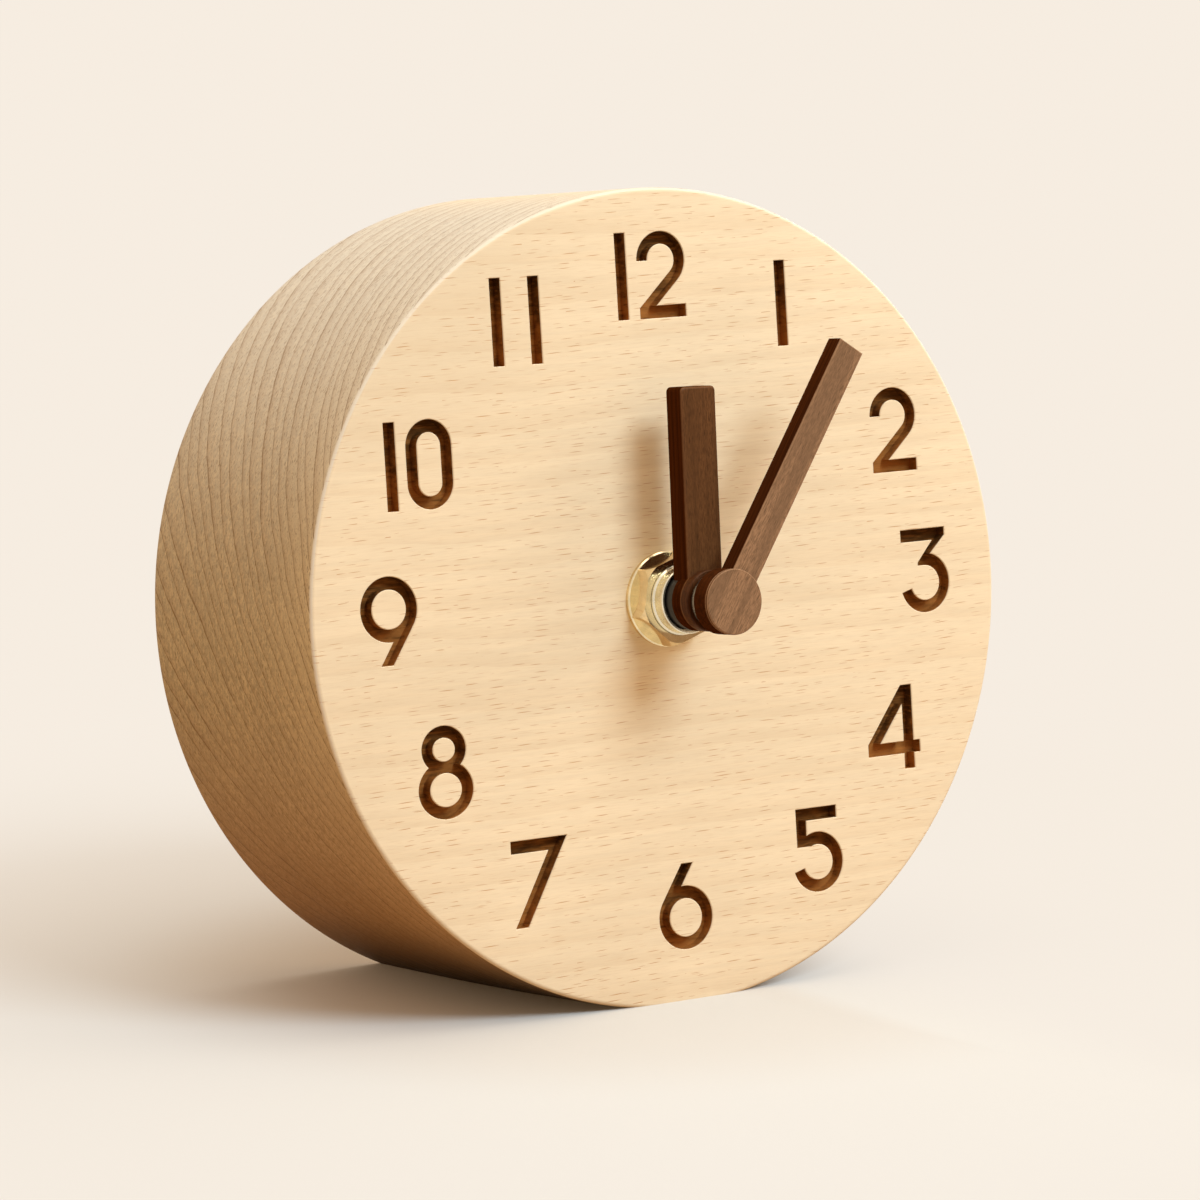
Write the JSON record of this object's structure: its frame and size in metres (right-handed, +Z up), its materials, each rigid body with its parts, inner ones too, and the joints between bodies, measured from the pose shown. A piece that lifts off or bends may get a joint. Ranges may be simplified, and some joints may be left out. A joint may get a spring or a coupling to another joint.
{
  "type": "table clock",
  "caption": "Round wooden table clock with a thick flat-based case, engraved dial, bar hands on brass hardware and a battery movement behind.",
  "frame": {"origin": "middle of the flat base of the case", "axes": "+Z up, the dial faces -Y and leans back 6 degrees, +X to the right as seen from the front"},
  "size_m": [0.12, 0.0701, 0.1184],
  "materials": {
    "beech": "oiled",
    "walnut": "satin",
    "brass": "turned",
    "steel": "turned",
    "dark_steel": "blued",
    "black_plastic": "moulded",
    "white_plastic": "moulded",
    "rubber": "matte",
    "cell": "plain",
    "contact": "nickel plated",
    "copper": "enamelled wire",
    "iron": "soft iron",
    "board": "laminate",
    "crystal_can": "drawn can"
  },
  "bodies": {
    "case": {"case_block": "beech", "threaded_bushing": "brass", "sealing_washer": "rubber", "dial_washer": "brass", "hex_nut": "brass", "movement_housing": "black_plastic", "movement_cover": "black_plastic", "train_bridge": "black_plastic", "stator_plate": "iron", "coil_core": "iron", "coil_bobbin": "white_plastic", "coil_winding": "copper", "battery_cell": "cell", "positive_contact": "contact", "negative_contact": "contact", "circuit_board": "board", "controller_chip": "black_plastic", "quartz_crystal": "crystal_can"},
    "minute": {"minute_arbor": "steel", "minute_collar": "dark_steel", "minute_hand": "walnut", "hand_cap": "walnut"},
    "hour": {"hour_wheel": "white_plastic", "hour_collar": "black_plastic", "hour_hand": "walnut"},
    "setting": {"minute_wheel": "white_plastic", "setting_knob": "black_plastic"},
    "centre": {"centre_wheel": "white_plastic"},
    "third": {"third_wheel": "white_plastic"},
    "second": {"second_wheel": "white_plastic"},
    "intermediate": {"intermediate_wheel": "white_plastic"},
    "motor_rotor": {"rotor": "iron"}
  },
  "joints": [
    {"name": "minute_hand_turn", "type": "hinge", "parent": "case", "child": "minute", "pos_m": [0, 0.00096, 0.05696], "axis": [0, 0.9945, -0.1045], "continuous": true},
    {"name": "hour_hand_turn", "type": "hinge", "parent": "case", "child": "hour", "pos_m": [0, 0.00096, 0.05696], "axis": [0, 0.9945, -0.1045], "continuous": true},
    {"name": "setting_knob_turn", "type": "hinge", "parent": "case", "child": "setting", "pos_m": [0.0098, 0.00096, 0.05696], "axis": [0, 0.9945, -0.1045], "continuous": true},
    {"name": "rotor_turn", "type": "hinge", "parent": "case", "child": "motor_rotor", "pos_m": [0, 0.00224, 0.06917], "axis": [0, 0.9945, -0.1045], "continuous": true},
    {"name": "intermediate_wheel_turn", "type": "hinge", "parent": "case", "child": "intermediate", "pos_m": [0, 0.00169, 0.06392], "axis": [0, 0.9945, -0.1045], "continuous": true},
    {"name": "second_wheel_turn", "type": "hinge", "parent": "case", "child": "second", "pos_m": [0, 0.00096, 0.05696], "axis": [0, 0.9945, -0.1045], "continuous": true},
    {"name": "third_wheel_turn", "type": "hinge", "parent": "case", "child": "third", "pos_m": [-0.0096, 0.00096, 0.05696], "axis": [0, 0.9945, -0.1045], "continuous": true},
    {"name": "centre_wheel_turn", "type": "hinge", "parent": "case", "child": "centre", "pos_m": [0, 0.00096, 0.05696], "axis": [0, 0.9945, -0.1045], "continuous": true}
  ],
  "couplings": [
    {"joint": "hour_hand_turn", "follows": "minute_hand_turn", "ratio": 0.083333},
    {"joint": "setting_knob_turn", "follows": "minute_hand_turn", "ratio": -0.33333},
    {"joint": "intermediate_wheel_turn", "follows": "rotor_turn", "ratio": -0.2},
    {"joint": "second_wheel_turn", "follows": "rotor_turn", "ratio": 0.033333},
    {"joint": "third_wheel_turn", "follows": "rotor_turn", "ratio": -0.0044444},
    {"joint": "centre_wheel_turn", "follows": "rotor_turn", "ratio": 0.00055556}
  ]
}
